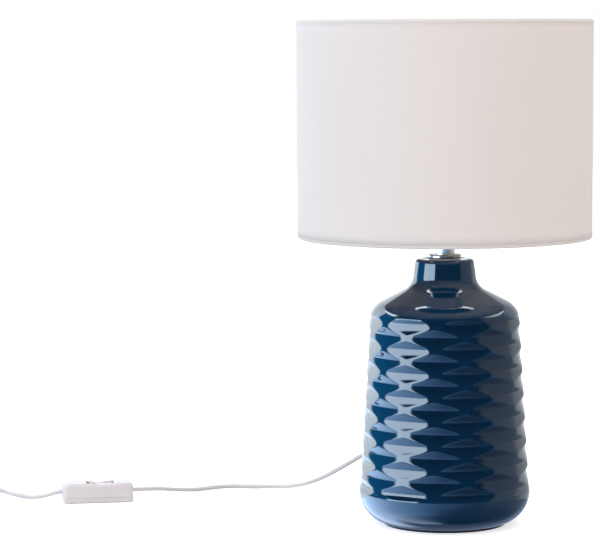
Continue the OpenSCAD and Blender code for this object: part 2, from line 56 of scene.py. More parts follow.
def make_camera():
    """A long lens near the height of the shade's top, turned a little left and down."""
    data = bpy.data.cameras.new("camera")
    data.lens = CAMERA_LENS
    data.sensor_width = 36
    data.clip_start = 0.05
    data.clip_end = 60
    forward = Vector((
        -math.sin(CAMERA_YAW) * math.cos(CAMERA_DOWN),
        math.cos(CAMERA_YAW) * math.cos(CAMERA_DOWN),
        -math.sin(CAMERA_DOWN),
    ))
    right = Vector((math.cos(CAMERA_YAW), math.sin(CAMERA_YAW), 0))
    up = right.cross(forward)
    roll_cos, roll_sin = math.cos(CAMERA_ROLL), math.sin(CAMERA_ROLL)
    right, up = right * roll_cos + up * roll_sin, up * roll_cos - right * roll_sin
    camera = bpy.data.objects.new("camera", data)
    camera.matrix_world = Matrix((
        (right.x, up.x, -forward.x, CAMERA_PLACE[0]),
        (right.y, up.y, -forward.y, CAMERA_PLACE[1]),
        (right.z, up.z, -forward.z, CAMERA_PLACE[2]),
        (0, 0, 0, 1),
    ))
    bpy.context.scene.collection.objects.link(camera)
    bpy.context.scene.camera = camera


# ---- Mesh helpers ----


def make_object(name, points, faces):
    """A smooth mesh object with its faces turned outward."""
    mesh = bpy.data.meshes.new(name)
    mesh.from_pydata([tuple(p) for p in points], [], faces)
    made = bmesh.new()
    made.from_mesh(mesh)
    bmesh.ops.recalc_face_normals(made, faces=made.faces)
    made.to_mesh(mesh)
    made.free()
    mesh.polygons.foreach_set("use_smooth", [True] * len(mesh.polygons))
    thing = bpy.data.objects.new(name, mesh)
    bpy.context.scene.collection.objects.link(thing)
    return thing


def arc(x, z, radius, start, end, steps):
    """Points of an arc about (x, z), between two angles in degrees."""
    found = []
    for i in range(steps + 1):
        a = math.radians(start + (end - start) * i / steps)
        found.append((x + radius * math.cos(a), z + radius * math.sin(a)))
    return found


def grid_faces(rows, columns, wrap_rows=False, wrap_columns=False):
    """Quads of a grid of points in rows, joined up round either way."""
    found = []
    for i in range(rows if wrap_rows else rows - 1):
        for j in range(columns if wrap_columns else columns - 1):
            here, after = i * columns, (i + 1) % rows * columns
            beside = (j + 1) % columns
            found.append((here + j, here + beside, after + beside, after + j))
    return found


def turned(outline, around, place=Matrix()):
    """A closed outline of (radius, height) points turned about the upright axis of a place."""
    points = []
    for r, z in outline:
        for j in range(around):
            a = 2 * math.pi * j / around
            points.append(place @ Vector((r * math.cos(a), r * math.sin(a), z)))
    return points, grid_faces(len(outline), around, True, True)


def joined(name, parts):
    """One object of several closed forms, each as its points and faces."""
    points, faces = [], []
    for part_points, part_faces in parts:
        faces += [tuple(k + len(points) for k in face) for face in part_faces]
        points += part_points
    return make_object(name, points, faces)


def spread(points, gap):
    """The same outline with points no further apart than gap."""
    found = [points[0]]
    for a, b in zip(points, points[1:]):
        steps = max(1, math.ceil(math.dist(a, b) / gap))
        for i in range(1, steps + 1):
            found.append((a[0] + (b[0] - a[0]) * i / steps, a[1] + (b[1] - a[1]) * i / steps))
    return found


def smoothstep(x):
    """Goes smoothly from 0 to 1 as x does."""
    x = min(1, max(0, x))
    return x * x * (3 - 2 * x)


def catmull_rom(points, steps):
    """A smooth curve through the points, as a list with that many steps between two of them."""
    p = [Vector(q) for q in points]
    p = [2 * p[0] - p[1], *p, 2 * p[-1] - p[-2]]
    found = []
    for i in range(1, len(p) - 2):
        for k in range(steps):
            t = k / steps
            a, b, c, d = p[i - 1 : i + 3]
            found.append(
                0.5 * (2 * b + (c - a) * t + (2 * a - 5 * b + 4 * c - d) * t * t
                       + (3 * b - a - 3 * c + d) * t * t * t)
            )
    found.append(p[-2])
    return found


# ---- Switch ----

SWITCH_TURN = math.atan(12.5 / 60)
SWITCH_PLACE = Matrix.Translation((-0.310, 0.0975, 0)) @ Matrix.Rotation(SWITCH_TURN, 4, "Z")
SWITCH_HALF = (0.0313, 0.0125)
SWITCH_CORNER = 0.0045
SWITCH_TOP = 0.0175
SWITCH_SEAM = 0.00452
SWITCH_EDGE = 0.0036
SWITCH_ROOF = 0.015
SWITCH_CAVITY = (0.028, 0.0095)
CAVITY_CORNER = 0.001
DISH_DEPTH = 0.0013
DISH_HALF = 0.0165
# Rounded lower edge of the cover: how far each ring stands in from the side and above the seam
SEAM_RINGS = ((0.0004, 0), (0.0001, 0.00012), (0, 0.0004), (0, 0.0008))
# Rounded edge of the window: how far each ring stands out, its corner and its drop below the top
WINDOW_RINGS = ((0.0002, 0.0006, 0.00016), (0, 0.0005, 0.0006))
WINDOW_HALF = (0.0122, 0.00685)
WINDOW_CORNER = 0.0005
WINDOW_LAND = 0.0006
LAND_CORNER = 0.0008
SCREW_PLACES = ((0.022, 0.006), (-0.022, -0.006))
SCREW_HOLE = 0.00125
SCREW_BOSS = 0.003
PIVOT_Z = 0.0128
PIN_BORE = 0.00105
PIN_BOSS = 0.0021
PIN_BOSS_GAP = 0.0001
BOSS_AROUND = 24
SCREW_BOSS_SUNK = 0.0005
PIN_BOSS_SUNK = 0.0003
ROCKER_X = 0.0024
ROCKER_HALF = (0.011, 0.0065)
ROCKER_EDGE = 0.0005
ROCKER_TILT = math.radians(10)
# The rocker's profile about its pin
ROCKER_TOP = 0.003
ROCKER_HOLLOW = 0.002
ROCKER_END = 0.0012
ROCKER_END_Z = 0.0036
ROCKER_BELOW = ((-0.0096, -0.0006), (-0.003, -0.0036), (0.003, -0.0036), (0.0096, -0.0006))
ROCKER_SIDE_Z = 0.0033
ROCKER_GAP = 0.0011


def switch_top(x):
    """Height of the switch's top, with a shallow dish round the rocker."""
    return SWITCH_TOP - DISH_DEPTH * (1 - smoothstep(abs(x - ROCKER_X) / DISH_HALF))


def switch_ring(half_x, half_y, corner, height=None, drop=0, middle=0):
    """A rounded rectangle of points at a height, or else at a drop below the switch's top."""
    corners = []
    for k, (sx, sy) in enumerate(((1, 1), (-1, 1), (-1, -1), (1, -1))):
        turns = [math.radians(90 * k + 15 * i) for i in range(7)]
        corners.append([(middle + sx * (half_x - corner) + corner * math.cos(a),
                         sy * (half_y - corner) + corner * math.sin(a)) for a in turns])
    points = []
    for here, after, steps in zip(corners, corners[1:] + corners[:1], (30, 8, 30, 8)):
        (ax, ay), (bx, by) = here[-1], after[0]
        between = [(ax + (bx - ax) * i / steps, ay + (by - ay) * i / steps) for i in range(1, steps)]
        for x, y in here + between:
            z = switch_top(x) - drop if height is None else height
            points.append(SWITCH_PLACE @ Vector((x, y, z)))
    return points


def switch_cover_form():
    """The cover from its inner wall over the seam, the sides, the dished top and the window, and back."""
    x, y = SWITCH_HALF
    corner, edge = SWITCH_CORNER, SWITCH_EDGE
    rings = [switch_ring(*SWITCH_CAVITY, CAVITY_CORNER, SWITCH_SEAM)]
    for inset, rise in SEAM_RINGS:
        rings.append(switch_ring(x - inset, y - inset, corner - inset, SWITCH_SEAM + rise))
    for i in range(10):
        a = math.radians(10 * i)
        inset = edge * (1 - math.cos(a))
        rings.append(switch_ring(x - inset, y - inset, corner - inset, drop=edge * (1 - math.sin(a))))
    window_x, window_y = WINDOW_HALF
    for share in (0.35, 0.7, 1):
        around = 1 - share
        rings.append(switch_ring(
            window_x + WINDOW_LAND + (x - edge - window_x - WINDOW_LAND) * around,
            window_y + WINDOW_LAND + (y - edge - window_y - WINDOW_LAND) * around,
            LAND_CORNER + (corner - edge - LAND_CORNER) * around,
            middle=ROCKER_X * share,
        ))
    for out, round_corner, drop in WINDOW_RINGS:
        rings.append(switch_ring(window_x + out, window_y + out, round_corner, drop=drop, middle=ROCKER_X))
    rings.append(switch_ring(window_x, window_y, WINDOW_CORNER, SWITCH_ROOF, middle=ROCKER_X))
    rings.append(switch_ring(*SWITCH_CAVITY, CAVITY_CORNER, SWITCH_ROOF))
    return [p for ring in rings for p in ring], grid_faces(len(rings), len(rings[0]), True, True)


def make_switch_cover():
    """The cover with its two screw bosses and the two bosses that hold the rocker's pin."""
    parts = [switch_cover_form()]
    start, end = SWITCH_SEAM, SWITCH_ROOF + SCREW_BOSS_SUNK
    boss = [(SCREW_HOLE, start), (SCREW_BOSS, start), (SCREW_BOSS, end), (SCREW_HOLE, end)]
    for x, y in SCREW_PLACES:
        parts.append(turned(boss, BOSS_AROUND, SWITCH_PLACE @ Matrix.Translation((x, y, 0))))
    start, end = WINDOW_HALF[1] + PIN_BOSS_GAP, SWITCH_CAVITY[1] + PIN_BOSS_SUNK
    boss = [(PIN_BORE, start), (PIN_BOSS, start), (PIN_BOSS, end), (PIN_BORE, end)]
    for side in (-90, 90):
        place = SWITCH_PLACE @ Matrix.Translation((ROCKER_X, 0, PIVOT_Z))
        parts.append(turned(boss, BOSS_AROUND, place @ Matrix.Rotation(math.radians(side), 4, "X")))
    cover = joined("switch_housing", parts)
    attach(cover, "lamp")
    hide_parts("switch_cover")
    return cover


def rocker_outline():
    """The rocker from its side, about its pin: a hollow top between two raised round ends."""
    half = ROCKER_HALF[0]
    right_end = arc(half - ROCKER_END, ROCKER_END_Z, ROCKER_END, -15, 70, 6)
    left_end = arc(ROCKER_END - half, ROCKER_END_Z, ROCKER_END, 110, 195, 6)
    top = [(x / 1000, ROCKER_TOP + ROCKER_HOLLOW * (x / 1000 / half) ** 2) for x in range(9, -10, -1)]
    side = (right_end[0][0], ROCKER_SIDE_Z)
    return spread([*right_end, *top, *left_end, *ROCKER_BELOW, side], ROCKER_GAP)[:-1]


def make_rocker():
    """The rocker with its left end up, rounded along its edges, with a bore for the pin."""
    half_y = ROCKER_HALF[1]
    outline = rocker_outline()
    place = SWITCH_PLACE @ Matrix.Translation((ROCKER_X, 0, PIVOT_Z)) @ Matrix.Rotation(ROCKER_TILT, 4, "Y")
    rings = []
    for side in (-1, 1):
        bore = [(PIN_BORE * x / math.hypot(x, z), PIN_BORE * z / math.hypot(x, z)) for x, z in outline]
        end = [(bore, half_y)]
        for i in range(5):
            a = math.radians(22.5 * i)
            shrink = ROCKER_EDGE * (1 - math.sin(a))
            ring = [(x - shrink * x / math.hypot(x, z), z - shrink * z / math.hypot(x, z))
                    for x, z in outline]
            end.append((ring, half_y - ROCKER_EDGE * (1 - math.cos(a))))
        for ring, y in end if side < 0 else reversed(end):
            rings.append([place @ Vector((x, side * y, z)) for x, z in ring])
    points = [p for ring in rings for p in ring]
    rocker = make_object("switch_paddle", points, grid_faces(len(rings), len(outline), True, True))
    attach(rocker, "rocker")
    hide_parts("switch_rocker")
    return rocker


# ---- Lead ----

LEAD_WIDTH = 0.0054
LEAD_THICK = 0.0033
EXIT_TURN = math.radians(135)
PLUG_TURN = math.radians(133)
LAMP_ROUTE = [
    (-0.060, 0.060, 0.050), (-0.066, 0.0662, 0.049), (-0.073, 0.0738, 0.0456), (-0.081, 0.083, 0.0398),
    (-0.090, 0.0945, 0.0328), (-0.103, 0.109, 0.0234), (-0.1175, 0.124, 0.0146), (-0.132, 0.138, 0.0086),
    (-0.147, 0.1505, 0.0051), (-0.161, 0.1605, 0.0034), (-0.174, 0.168, 0.0022), (-0.187, 0.1718, 0.0017),
    (-0.200, 0.1708, 0.0017), (-0.212, 0.1643, 0.0017), (-0.223, 0.1535, 0.002), (-0.2325, 0.142, 0.0031),
    (-0.243, 0.130, 0.0053), (-0.2545, 0.1183, 0.0079), (-0.267, 0.1076, 0.0094), (-0.2794, 0.1039, 0.0095),
]
PLUG_ROUTE = [
    (-0.3406, 0.0911, 0.0095), (-0.3473, 0.0904, 0.0084), (-0.354, 0.0912, 0.0062), (-0.362, 0.0947, 0.0041),
    (-0.370, 0.101, 0.0028), (-0.3785, 0.110, 0.002), (-0.388, 0.1213, 0.0017), (-0.397, 0.1327, 0.0017),
    (-0.405, 0.1435, 0.0017), (-0.4112, 0.152, 0.0017), (-0.4176, 0.1608, 0.0017),
]
TAIL_ROUTE = [(-0.430, 0.1776, 0.0084), (-0.437, 0.1858, 0.0076), (-0.444, 0.1933, 0.00685)]
COIL_PLACE = (-0.451, 0.150)
COIL_RADIUS = 0.028
COIL_START = 36
COIL_LAYER = 0.0034
COIL_LIFT = 0.00005
COIL_TURN_STEPS = 24
# Each turn of the coil: its column and layer, and the share of the turn over which it goes to the next
COIL_TURNS = [
    (1, 0, 0.74, 1.0), (0, 0, 0.74, 1.0), (-1, 0, 0.62, 0.83), (-1, 1, 0.74, 1.0),
    (0, 1, 0.74, 1.0), (1, 1, 0.60, 0.83), (0, 2, 0.55, 0.80), (1, 2, 1.0, 1.0),
]
COIL_CLIMB = 1.6
COIL_HUMP = 0.003
COIL_HUMP_START = 0.55
COIL_HUMP_SHARE = 0.30
LEAD_GROOVE = 0.94


def coil_route():
    """Seven turns in three columns and three layers, with a low hump where the last one crosses another."""
    found = []
    turns = len(COIL_TURNS) - 1
    for i in range(turns * COIL_TURN_STEPS + 1):
        turn = min(i // COIL_TURN_STEPS, turns - 1)
        share = i / COIL_TURN_STEPS - turn
        column, layer, start, end = COIL_TURNS[turn]
        next_column, next_layer = COIL_TURNS[turn + 1][:2]
        t = smoothstep((share - start) / (end - start)) if end > start else 0
        r = COIL_RADIUS + LEAD_WIDTH * (column + (next_column - column) * t)
        rise = t if next_column == column else smoothstep((share - start) / (end - start) * COIL_CLIMB)
        z = LEAD_THICK / 2 + COIL_LIFT + COIL_LAYER * (layer + (next_layer - layer) * rise)
        if turn == turns - 1:
            crossing = min(1, max(0, (share - COIL_HUMP_START) / COIL_HUMP_SHARE))
            z += COIL_HUMP * math.sin(math.pi * crossing) ** 2
        a = math.radians(COIL_START) + 2 * math.pi * share
        found.append((COIL_PLACE[0] + r * math.cos(a), COIL_PLACE[1] + r * math.sin(a), z))
    return found


def lead_section():
    """Half-round sides and flat faces, with a shallow groove between the two cores."""
    radius = LEAD_THICK / 2
    half = LEAD_WIDTH / 2 - radius
    right = [(half + radius * math.cos(math.radians(a)), radius * math.sin(math.radians(a)))
             for a in range(-90, 91, 20)]
    left = [(-x, -z) for x, z in right]
    return [*right, (0, radius * LEAD_GROOVE), *left, (0, -radius * LEAD_GROOVE)]


def flat_lead(name, path, way_start, way_end):
    """The flat lead swept along a path, lying on its wide side, from one way to another."""
    section = lead_section()
    points = []
    last = len(path) - 1
    for i, p in enumerate(path):
        way = (path[min(i + 1, last)] - path[max(i - 1, 0)]).normalized()
        if i == 0:
            way = Vector(way_start)
        if i == last:
            way = Vector(way_end)
        thin = (Vector((0, 0, 1)) - way * way.z).normalized()
        wide = way.cross(thin)
        points += [p + wide * x + thin * z for x, z in section]
    faces = grid_faces(len(path), len(section), False, True)
    faces.append(tuple(range(len(section))))
    faces.append(tuple(reversed(range(last * len(section), (last + 1) * len(section)))))
    return make_object(name, points, faces)


def make_leads():
    """The lead from the lamp to the switch, and from the switch through the coil to the plug."""
    way_out = (math.cos(EXIT_TURN), math.sin(EXIT_TURN), 0)
    way_switch = (-math.cos(SWITCH_TURN), -math.sin(SWITCH_TURN), 0)
    way_plug = (math.cos(PLUG_TURN), math.sin(PLUG_TURN), 0)
    lamp_path = catmull_rom(LAMP_ROUTE, 5)
    lamp_lead = flat_lead("lead_to_switch", lamp_path, way_out, way_switch)
    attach(lamp_lead, "lamp")
    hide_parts("lead_lamp_side")
    plug_path = catmull_rom(PLUG_ROUTE + coil_route() + TAIL_ROUTE, 3)
    plug_lead = flat_lead("lead_to_plug", plug_path, way_switch, way_plug)
    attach(plug_lead, "lamp")
    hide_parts("lead_plug_side", "lead_coil", "lead_tail")
    return [lamp_lead, plug_lead]


make_camera()
switch = [make_switch_cover(), make_rocker()]
leads = make_leads()

# ---- Ceramic body ----

FOOT_Z = 0.0015
FOOT_ROUND = 0.0284
FOOT_CENTRE_Z = 0.0288
SHOULDER_R = 0.0642
SHOULDER_Z = 0.172
SHOULDER_ROUND = 0.0204
SHOULDER_SLOPE = 26.8
NECK_ROUND = 0.0152
NECK_R = 0.0264
LIP_R = 0.0250
LIP_ROUND = 0.0032
WALL = 0.005
UNDERSIDE_R = 0.043
UNDERSIDE_Z = 0.009
OPENING_R = 0.034
ROD_HOLE_R = 0.0056
NECK_PLATE = 0.007
NECK_CAVITY_R = NECK_R - WALL - 0.0006
OUTLINE_GAP = 0.00097

SCOOP_COLUMNS = 16
SCOOP_TURN = -7
SCOOP_HALF = 0.010025
SCOOP_ROW_Z = 0.0445
SCOOP_DEPTH = 0.002
SCOOP_ABOVE = 0.66
VALLEY_SOFTNESS = 0.6
RIDGE_SOFTNESS = 0.09
# Heights between which the relief fades in over the plain foot, and out under the plain shoulder
SCOOP_LOW = (0.0285, 0.0325)
SCOOP_HIGH = (0.1765, 0.1805)
BODY_AROUND = 288

# Flat round seat for the lead's gland, on the side where the lead leaves
EXIT_Z = 0.050
EXIT_SEAT = 0.0706
EXIT_SEAT_R = 0.0083
EXIT_SEAT_FADE = 0.0015


def body_outline():
    """Outside of the ceramic, from the foot to the lip, and the closed way back inside."""
    body_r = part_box("ceramic_body")[1].x
    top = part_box("ceramic_body")[1].z
    foot_angle = math.degrees(math.asin((FOOT_Z - FOOT_CENTRE_Z) / FOOT_ROUND))
    slope = math.radians(SHOULDER_SLOPE)
    cone_r = SHOULDER_R - SHOULDER_ROUND + SHOULDER_ROUND * math.sin(slope)
    cone_z = SHOULDER_Z + SHOULDER_ROUND * math.cos(slope)
    neck_x = NECK_R + NECK_ROUND
    neck_z = cone_z + (cone_r - neck_x) * math.tan(slope) + NECK_ROUND / math.cos(slope)
    outside = (
        arc(body_r - FOOT_ROUND, FOOT_CENTRE_Z, FOOT_ROUND, foot_angle, 0, 30)
        + arc(SHOULDER_R - SHOULDER_ROUND, SHOULDER_Z, SHOULDER_ROUND, 0, 90 - SHOULDER_SLOPE, 24)
        + arc(neck_x, neck_z, NECK_ROUND, 270 - SHOULDER_SLOPE, 180, 20)
        + arc(LIP_R - LIP_ROUND, top - LIP_ROUND, LIP_ROUND, 0, 90, 8)
    )
    low_angle = math.degrees(math.asin((UNDERSIDE_Z - FOOT_CENTRE_Z) / (FOOT_ROUND - WALL)))
    inside = (
        arc(body_r - FOOT_ROUND, FOOT_CENTRE_Z + WALL, FOOT_ROUND - WALL, low_angle, 0, 8)
        + arc(SHOULDER_R - SHOULDER_ROUND, SHOULDER_Z, SHOULDER_ROUND - WALL, 0, 90 - SHOULDER_SLOPE, 8)
        + arc(neck_x, neck_z, NECK_ROUND + WALL, 270 - SHOULDER_SLOPE, 192, 6)
    )
    back = [
        (ROD_HOLE_R, top), (ROD_HOLE_R, top - NECK_PLATE), (NECK_CAVITY_R, top - NECK_PLATE),
        *reversed(inside), (OPENING_R, UNDERSIDE_Z + WALL), (OPENING_R, UNDERSIDE_Z),
        (UNDERSIDE_R, UNDERSIDE_Z), (UNDERSIDE_R, FOOT_Z),
    ]
    return spread(outside, OUTLINE_GAP), back


def scoop_rise(u):
    """Height over a scoop's valley, from 0 to 1 at the ridges: u goes up in half pitches of the rows."""
    below = 2 - SCOOP_ABOVE
    if u < 0:
        return 0.5 - 0.5 * math.cos(math.pi * min(1, -u / below)) + max(0, -u - 2 + SCOOP_ABOVE)
    soft = VALLEY_SOFTNESS
    return (math.hypot(u / SCOOP_ABOVE, soft) - soft) / (math.hypot(1, soft) - soft)


def scoop(turn, z):
    """Depth of the relief: scoops set like bricks, steep above each valley, with soft ridges between them."""
    s = (turn - SCOOP_TURN) / (360 / SCOOP_COLUMNS)
    w = (z - SCOOP_ROW_Z) / SCOOP_HALF
    total = 0
    for i in (math.floor(s), math.floor(s) + 1):
        for j in range(math.floor(w) - 1, math.floor(w) + 4):
            if (i + j) % 2 == 0:
                total += math.exp(-((s - i) ** 2 + scoop_rise(w - j)) / RIDGE_SOFTNESS)
    rise = -RIDGE_SOFTNESS * math.log(total)
    fade = smoothstep((z - SCOOP_LOW[0]) / (SCOOP_LOW[1] - SCOOP_LOW[0]))
    fade *= 1 - smoothstep((z - SCOOP_HIGH[0]) / (SCOOP_HIGH[1] - SCOOP_HIGH[0]))
    return SCOOP_DEPTH * fade * max(0, 1 - rise)


def make_body():
    """The glazed body with its scooped relief, and the flat seat for the lead's gland."""
    outside, back = body_outline()
    outline = outside + back
    points, relief = [], []
    exit_way = Vector((math.cos(EXIT_TURN), math.sin(EXIT_TURN), 0))
    exit_side = Vector((-math.sin(EXIT_TURN), math.cos(EXIT_TURN), 0))
    for k, (r, z) in enumerate(outline):
        for j in range(BODY_AROUND):
            turn = 360 * j / BODY_AROUND
            depth = scoop(turn + 90, z) if k < len(outside) else 0
            a = math.radians(turn)
            p = Vector(((r - depth) * math.cos(a), (r - depth) * math.sin(a), z))
            if k < len(outside) and p.dot(exit_way) > EXIT_SEAT:
                off = math.hypot(p.dot(exit_side), z - EXIT_Z)
                flat = 1 - smoothstep((off - EXIT_SEAT_R) / EXIT_SEAT_FADE)
                p -= exit_way * (p.dot(exit_way) - EXIT_SEAT) * flat
            points.append(p)
            relief.append(depth / SCOOP_DEPTH)
    body = make_object("body_glazed", points, grid_faces(len(outline), BODY_AROUND, True, True))
    layer = body.data.attributes.new("relief", "FLOAT", "POINT")
    layer.data.foreach_set("value", relief)
    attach(body, "lamp")
    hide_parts("ceramic_body")
    return body


# ---- Shade ----

SHADE_R = 0.12455
FABRIC_T = 0.0006
SHADE_AROUND = 360
COVER_ROWS = 24
COVER_WAVE = 0.00006
SEAM_OVERLAP = 0.010
SEAM_COLUMNS = 6
SEAM_ANGLE = math.pi / 2 + 0.15
LAP_START = 0.06
LAP_RISE = 0.05
LAP_GAP = 0.00005
HEM_ROUND = 0.00225
HEM_PROUD = 0.0005
HEM_REACH = HEM_ROUND + FABRIC_T / 2
HEM_STEPS = 16
# Shares of the cloth's thickness at the hem's last steps, where its cut edge thins out
HEM_THIN = (0.7, 0.2)
HEM_ROW_CLOTH = 0.0006


def make_cover():
    """The woven cover: one strip round the lining, its end lapped over its start at the back."""
    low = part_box("shade_bottom_hem")[0].z + HEM_REACH - HEM_PROUD
    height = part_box("shade_top_hem")[1].z - HEM_REACH + HEM_PROUD - low
    rows = COVER_ROWS
    round_angle = 2 * math.pi + SEAM_OVERLAP / SHADE_R
    columns = SHADE_AROUND + SEAM_COLUMNS
    points, uv = [], []
    for side in (0, 1):
        for i in range(rows + 1):
            for j in range(columns):
                angle = round_angle * j / (columns - 1)
                lapped = smoothstep((angle - 2 * math.pi + LAP_START) / LAP_RISE)
                wave = COVER_WAVE * math.sin(5 * angle) * math.sin(math.pi * i / rows)
                r = SHADE_R - FABRIC_T * side + lapped * (FABRIC_T + LAP_GAP) + wave
                a = SEAM_ANGLE + angle
                points.append((r * math.cos(a), r * math.sin(a), low + height * i / rows))
                uv.append((angle * SHADE_R, height * i / rows))
    count = (rows + 1) * columns
    faces = grid_faces(rows + 1, columns)
    faces += [tuple(count + k for k in reversed(f)) for f in grid_faces(rows + 1, columns)]
    rim = [*range(columns), *[i * columns + columns - 1 for i in range(1, rows + 1)],
           *[rows * columns + j for j in reversed(range(columns - 1))],
           *[i * columns for i in reversed(range(1, rows))]]
    faces += [(a, b, b + count, a + count) for a, b in zip(rim, rim[1:] + rim[:1])]
    cover = make_object("shade_cover", points, faces)
    write_uv(cover, uv)
    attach(cover, "lamp")
    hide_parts("shade_fabric")
    return cover, (round_angle * SHADE_R, height)


def write_uv(thing, uv):
    """Gives each point its own place on the cloth, in metres."""
    layer = thing.data.uv_layers.new(name="cloth")
    for loop in thing.data.loops:
        layer.data[loop.index].uv = uv[loop.vertex_index]


def make_hem(name, node, edge_z, up):
    """The cloth rolled in over the shade's wire, from the cover's edge to the inside."""
    middle_r = SHADE_R - FABRIC_T / 2 - HEM_ROUND
    line = []
    for i in range(HEM_STEPS + 1):
        a = math.radians(-180 * i / HEM_STEPS)
        height = HEM_REACH + HEM_ROUND * math.sin(a)
        line.append((middle_r + HEM_ROUND * math.cos(a), edge_z + up * height))
    thickness = [1] * (len(line) - len(HEM_THIN)) + [*HEM_THIN]
    outer, inner = [], []
    for i, ((r, z), thick) in enumerate(zip(line, thickness)):
        a, b = line[max(i - 1, 0)], line[min(i + 1, len(line) - 1)]
        way = Vector((b[0] - a[0], b[1] - a[1])).normalized()
        side = Vector((-way.y, way.x)) * up * FABRIC_T / 2 * thick
        outer.append((r + side.x, z + side.y))
        inner.append((r - side.x, z - side.y))
    hem = make_object(name, *turned(outer + inner[::-1], SHADE_AROUND))
    uv = []
    for k in range(len(hem.data.vertices)):
        row, column = divmod(k, SHADE_AROUND)
        row = min(row, len(outer + inner) - 1 - row)
        uv.append((2 * math.pi * SHADE_R * column / SHADE_AROUND, HEM_ROW_CLOTH * row))
    write_uv(hem, uv)
    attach(hem, "lamp")
    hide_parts(node)
    return hem


def make_shade():
    """The cover and its two hems."""
    cover, flat = make_cover()
    low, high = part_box("shade_bottom_hem")[0].z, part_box("shade_top_hem")[1].z
    hems = [make_hem("shade_hem_lower", "shade_bottom_hem", low - HEM_PROUD, 1),
            make_hem("shade_hem_upper", "shade_top_hem", high + HEM_PROUD, -1)]
    return [cover, *hems]


# ---- Shader nodes ----


class Nodes:
    """A node tree, and short ways to add nodes to it."""

    def __init__(self, tree):
        self.tree = tree

    def feed(self, socket, value):
        """Links a node's output to the socket, or sets the socket's own value."""
        if isinstance(value, bpy.types.NodeSocket):
            self.tree.links.new(value, socket)
        elif value is not None:
            socket.default_value = value

    def add(self, kind, *inputs, **properties):
        """A node with its first inputs fed and its properties set."""
        node = self.tree.nodes.new("ShaderNode" + kind)
        for key, value in properties.items():
            setattr(node, key, value)
        for socket, value in zip(node.inputs, inputs):
            self.feed(socket, value)
        return node

    def ramp(self, value, *stops):
        """A colour ramp through (position, colour) stops."""
        node = self.add("ValToRGB", value)
        while len(node.color_ramp.elements) < len(stops):
            node.color_ramp.elements.new(0.5)
        for element, (position, colour) in zip(node.color_ramp.elements, stops):
            element.position = position
            element.color = colour
        return node.outputs["Color"]

    def mixed(self, factor, a, b):
        """A mix of two colours."""
        node = self.add("Mix", data_type="RGBA")
        self.feed(node.inputs[0], factor)
        self.feed(node.inputs[6], a)
        self.feed(node.inputs[7], b)
        return node.outputs[2]

    def math(self, operation, a, b=None, c=None):
        """The result of one sum."""
        return self.add("Math", a, b, c, operation=operation).outputs[0]


class Finish(Nodes):
    """A material with its Principled shader, and short ways to feed it."""

    def __init__(self, name, colour, roughness, **sockets):
        self.material = bpy.data.materials.new(name)
        self.material.use_nodes = True
        super().__init__(self.material.node_tree)
        self.shader = self.tree.nodes["Principled BSDF"]
        self.set("Base Color", colour)
        self.set("Roughness", roughness)
        for socket, value in sockets.items():
            self.set(socket.replace("_", " "), value)

    def set(self, socket, value):
        """Feeds one of the shader's own sockets."""
        self.feed(self.shader.inputs[socket], value)

    def noise(self, scale, detail=3, stretch=(1, 1, 1), at=None):
        """Noise over the lamp's frame in metres, or over the places given."""
        at = at or self.add("TexCoord").outputs["Object"]
        where = self.add("Mapping", at, None, None, stretch).outputs[0]
        node = self.add("TexNoise")
        self.feed(node.inputs["Vector"], where)
        node.inputs["Scale"].default_value = scale
        node.inputs["Detail"].default_value = detail
        return node.outputs["Fac"]

    def bump(self, height, distance, strength):
        """Fine relief in the shader's normal."""
        node = self.add("Bump")
        node.inputs["Strength"].default_value = strength
        node.inputs["Distance"].default_value = distance
        self.feed(node.inputs["Height"], height)
        self.set("Normal", node.outputs["Normal"])

    def let_through(self, share, colour):
        """Lets a share of the light through, scattered in a colour."""
        through = self.add("BsdfTranslucent", colour)
        both = self.add("MixShader", share, self.shader.outputs["BSDF"], through.outputs[0])
        self.feed(self.tree.nodes["Material Output"].inputs["Surface"], both.outputs[0])


def grey(v):
    """An even linear colour."""
    return (v, v, v, 1)


def rgb(red, green, blue):
    """A display colour from 0 to 255 as the linear colour that shaders take."""
    found = []
    for part in (red, green, blue):
        c = part / 255
        found.append(c / 12.92 if c <= 0.04045 else ((c + 0.055) / 1.055) ** 2.4)
    return (*found, 1)


# ---- Materials ----

WARP_GAP = 0.00055
WEFT_GAP = 0.00065


def glaze():
    """Deep blue glaze: darker where it pools in the scoops, thin and pale on the ridges."""
    f = Finish("ceramic glaze", rgb(10, 75, 125), 0.05, IOR=1.52)
    relief = f.add("Attribute", attribute_name="relief").outputs["Fac"]
    cloud = f.noise(38, 4)
    pooled = f.math("ADD", f.math("MULTIPLY", relief, 0.75), f.math("MULTIPLY", cloud, 0.35))
    f.set("Base Color", f.ramp(
        pooled,
        (0.0, rgb(7, 50, 82)),
        (0.25, rgb(4, 41, 71)),
        (0.6, rgb(3, 36, 63)),
        (1.0, rgb(2, 31, 57)),
    ))
    f.set("Roughness", f.ramp(f.noise(160, 3), (0.35, grey(0.03)), (0.75, grey(0.085))))
    f.bump(f.noise(55, 2), 0.0004, 0.12)
    return f.material


def weave_height(f, across, along):
    """Height of a plain weave from its threads' places, over and under by turns."""
    weft = f.math("SINE", f.math("MULTIPLY", along, math.pi))
    warp = f.math("SINE", f.math("MULTIPLY", across, math.pi))
    over = f.math("MULTIPLY", weft, warp)
    return f.math("MULTIPLY_ADD", over, 0.5, 0.5)


